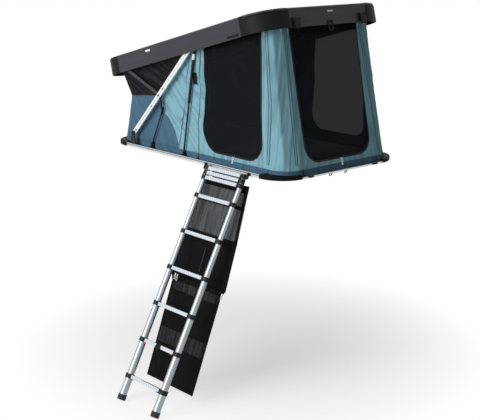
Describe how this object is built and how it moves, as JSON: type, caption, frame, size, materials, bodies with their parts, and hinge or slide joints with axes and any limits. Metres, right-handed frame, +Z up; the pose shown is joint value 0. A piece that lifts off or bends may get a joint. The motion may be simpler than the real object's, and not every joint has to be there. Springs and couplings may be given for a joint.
{
  "type": "roof top tent",
  "caption": "Hard-shell roof top tent, open: slanted lid on side lift arms with gas springs, fabric walls with mesh windows, and a telescopic ladder with a hanging organiser.",
  "frame": {"origin": "middle of the clamp bolt pattern on the underside of the mounting channels, where they rest on the roof bars", "axes": "+X to the tall rear end, +Z up, ladder on the -Y side"},
  "size_m": [2.2447, 2.2055, 2.8904],
  "materials": {
    "aluminium": "satin",
    "black_plastic": "textured",
    "black_steel": "matte",
    "bright_steel": "polished",
    "anthracite": "satin powder coat",
    "sandwich_panel": "light core panel",
    "teal_canvas": "matte woven",
    "slate_canvas": "matte woven",
    "black_canvas": "matte woven",
    "mesh": "insect mesh",
    "padding": "soft foam under cloth",
    "rubber": "matte"
  },
  "bodies": {
    "base": {"mount_channels": "aluminium", "floor_panel": "sandwich_panel", "side_rails": "aluminium", "end_rails": "aluminium", "base_corners": "black_plastic", "keder_rail": "aluminium", "mattress": "padding", "link_brackets": "black_steel", "ladder_hooks": "black_steel", "latch_keepers": "black_steel", "canvas_band": "slate_canvas", "canvas_sides": "teal_canvas", "canvas_rear": "teal_canvas", "canvas_front": "slate_canvas", "canvas_gusset": "black_canvas", "mesh_sides": "mesh", "mesh_rear": "mesh"},
    "lid": {"side_skirts": "anthracite", "end_skirts": "anthracite", "rear_caps": "black_plastic", "front_caps": "black_plastic", "roof_panel": "sandwich_panel", "roof_liner": "padding", "edge_strips": "aluminium", "lid_keder": "aluminium", "roller_tracks": "aluminium", "lid_brackets": "black_steel", "latch_housings": "black_plastic", "pull_strap": "black_canvas"},
    "latch_left": {"latch_lever_left": "black_plastic"},
    "latch_right": {"latch_lever_right": "black_plastic"},
    "lift_arms": {"lift_arms": "aluminium"},
    "rollers": {"rollers": "rubber"},
    "braces": {"brace_arms": "black_steel"},
    "tie_rods": {"tie_rods": "black_steel"},
    "gas_rods": {"gas_rods": "bright_steel"},
    "gas_cylinders": {"gas_cylinders": "black_steel"},
    "ladder_1": {"ladder_section_1": "aluminium", "ladder_collars_1": "black_plastic", "organiser_sheet": "black_canvas", "organiser_mesh": "mesh", "organiser_pockets": "black_canvas"},
    "ladder_2": {"ladder_section_2": "aluminium", "ladder_collars_2": "black_plastic"},
    "ladder_3": {"ladder_section_3": "aluminium", "ladder_collars_3": "black_plastic"},
    "ladder_4": {"ladder_section_4": "aluminium", "ladder_collars_4": "black_plastic"},
    "ladder_5": {"ladder_section_5": "aluminium", "ladder_collars_5": "black_plastic"},
    "ladder_6": {"ladder_section_6": "aluminium", "ladder_collars_6": "black_plastic"},
    "ladder_7": {"ladder_section_7": "aluminium", "ladder_collars_7": "black_plastic"},
    "ladder_8": {"ladder_section_8": "aluminium", "ladder_collars_8": "black_plastic"},
    "ladder_9": {"ladder_section_9": "aluminium", "ladder_collars_9": "black_plastic", "ladder_feet": "rubber"}
  },
  "joints": [
    {"name": "lid_lift", "type": "hinge", "parent": "base", "child": "lift_arms", "pos_m": [-0.74102, 0, 0.13879], "axis": [0, 1, 0], "range_deg": [0, 47.15], "deforming": ["canvas_sides", "canvas_rear", "canvas_front", "canvas_gusset", "mesh_sides", "mesh_rear"]},
    {"name": "brace_fold", "type": "hinge", "parent": "lift_arms", "child": "braces", "pos_m": [-0.39469, 0, 0.48851], "axis": [0, 1, 0], "range_deg": [-72.83, 0]},
    {"name": "lid_tilt", "type": "hinge", "parent": "braces", "child": "lid", "pos_m": [-0.85254, 0, 0.66036], "axis": [0, 1, 0], "range_deg": [0, 40.63]},
    {"name": "roller_spin", "type": "hinge", "parent": "lift_arms", "child": "rollers", "pos_m": [0.03366, 0, 0.92106], "axis": [0, 1, 0], "continuous": true},
    {"name": "tie_swing", "type": "hinge", "parent": "base", "child": "tie_rods", "pos_m": [-0.5279, 0, 0.078], "axis": [0, 1, 0], "range_deg": [0, 70.61]},
    {"name": "spring_swing", "type": "hinge", "parent": "base", "child": "gas_rods", "pos_m": [-0.118, 0, 0.066], "axis": [0, 1, 0], "range_deg": [0, 75.58]},
    {"name": "spring_stroke", "type": "slide", "parent": "gas_rods", "child": "gas_cylinders", "axis": [0.1746, 0, 0.9846], "range_m": [-0.3898, 0]},
    {"name": "latch_left_flip", "type": "hinge", "parent": "lid", "child": "latch_left", "pos_m": [0.87495, -0.347, 1.15516], "axis": [0, -1, 0], "range_deg": [0, 75]},
    {"name": "latch_right_flip", "type": "hinge", "parent": "lid", "child": "latch_right", "pos_m": [0.87495, 0.347, 1.15516], "axis": [0, -1, 0], "range_deg": [0, 75]},
    {"name": "ladder_swing", "type": "hinge", "parent": "base", "child": "ladder_1", "pos_m": [0.4625, -0.6638, 0.0088], "axis": [-1, 0, 0], "range_deg": [0, 50]},
    {"name": "ladder_slide_2", "type": "slide", "parent": "ladder_1", "child": "ladder_2", "axis": [0, -0.4641, -0.8858], "range_m": [0, 0.253]},
    {"name": "ladder_slide_3", "type": "slide", "parent": "ladder_2", "child": "ladder_3", "axis": [0, -0.4641, -0.8858], "range_m": [0, 0.253]},
    {"name": "ladder_slide_4", "type": "slide", "parent": "ladder_3", "child": "ladder_4", "axis": [0, -0.4641, -0.8858], "range_m": [-0.111, 0.142]},
    {"name": "ladder_slide_5", "type": "slide", "parent": "ladder_4", "child": "ladder_5", "axis": [0, -0.4641, -0.8858], "range_m": [-0.253, 0]},
    {"name": "ladder_slide_6", "type": "slide", "parent": "ladder_5", "child": "ladder_6", "axis": [0, -0.4641, -0.8858], "range_m": [-0.253, 0]},
    {"name": "ladder_slide_7", "type": "slide", "parent": "ladder_6", "child": "ladder_7", "axis": [0, -0.4641, -0.8858], "range_m": [-0.253, 0]},
    {"name": "ladder_slide_8", "type": "slide", "parent": "ladder_7", "child": "ladder_8", "axis": [0, -0.4641, -0.8858], "range_m": [-0.253, 0]},
    {"name": "ladder_slide_9", "type": "slide", "parent": "ladder_8", "child": "ladder_9", "axis": [0, -0.4641, -0.8858], "range_m": [-0.1, 0]}
  ],
  "couplings": [
    {"joint": "brace_fold", "follows": "lid_lift", "ratio": -1.5436},
    {"joint": "lid_tilt", "follows": "lid_lift", "ratio": 0.86071},
    {"joint": "tie_swing", "follows": "lid_lift", "ratio": 1.4966},
    {"joint": "spring_swing", "follows": "lid_lift", "ratio": 1.6018},
    {"joint": "spring_stroke", "follows": "lid_lift", "m_per_rad": -0.47349}
  ]
}
